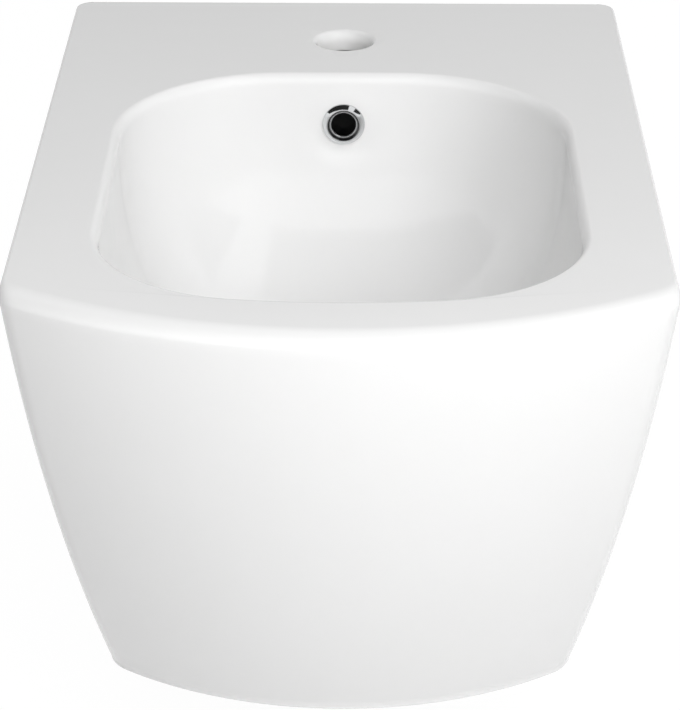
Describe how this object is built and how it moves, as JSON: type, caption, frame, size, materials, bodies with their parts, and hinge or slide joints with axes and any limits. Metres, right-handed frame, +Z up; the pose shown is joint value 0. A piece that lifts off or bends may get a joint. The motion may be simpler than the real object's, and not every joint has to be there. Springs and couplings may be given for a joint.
{
  "type": "wall-hung bidet",
  "caption": "White ceramic wall-hung bidet with a rounded rectangular basin, one tap hole, a chrome overflow ring and a press-to-close drain plug.",
  "frame": {"origin": "on the wall plane, midway between the two wall fixing holes", "axes": "+X to the right as seen from the room, +Y into the wall, +Z up"},
  "size_m": [0.36, 0.526, 0.3],
  "materials": {
    "glazed_ceramic": "white gloss glaze over vitreous china",
    "chrome_ring": "polished chrome",
    "chrome_waste": "polished chrome",
    "chrome_plug": "polished chrome",
    "rubber": "matt black rubber",
    "white_plastic": "moulded white plastic",
    "black_plastic": "moulded black plastic",
    "brass": "turned brass",
    "spring_steel": "drawn stainless wire",
    "zinc_steel": "bright zinc plate"
  },
  "bodies": {
    "base": {"ceramic_body": "glazed_ceramic", "overflow_ring": "chrome_ring", "overflow_grip_seal": "rubber", "waste_body": "chrome_waste", "waste_flange_seal": "rubber", "waste_cone_seal": "rubber", "waste_slip_washer": "white_plastic", "waste_back_nut": "black_plastic", "clicker_housing": "brass", "clicker_collar": "brass", "clicker_spring": "spring_steel", "fixing_sleeve_left": "white_plastic", "fixing_rubber_washer_left": "rubber", "fixing_steel_washer_left": "zinc_steel", "fixing_nut_left": "zinc_steel", "fixing_sleeve_right": "white_plastic", "fixing_rubber_washer_right": "rubber", "fixing_steel_washer_right": "zinc_steel", "fixing_nut_right": "zinc_steel"},
    "plug": {"plug_cap": "chrome_plug", "plug_seal": "rubber", "clicker_plunger": "brass"}
  },
  "joints": [
    {"name": "plug_press", "type": "slide", "parent": "base", "child": "plug", "axis": [0, 0, -1], "range_m": [0, 0.0075], "stiffness_N_per_m": 300, "springref_m": -0.02, "deforming": ["clicker_spring"]}
  ]
}
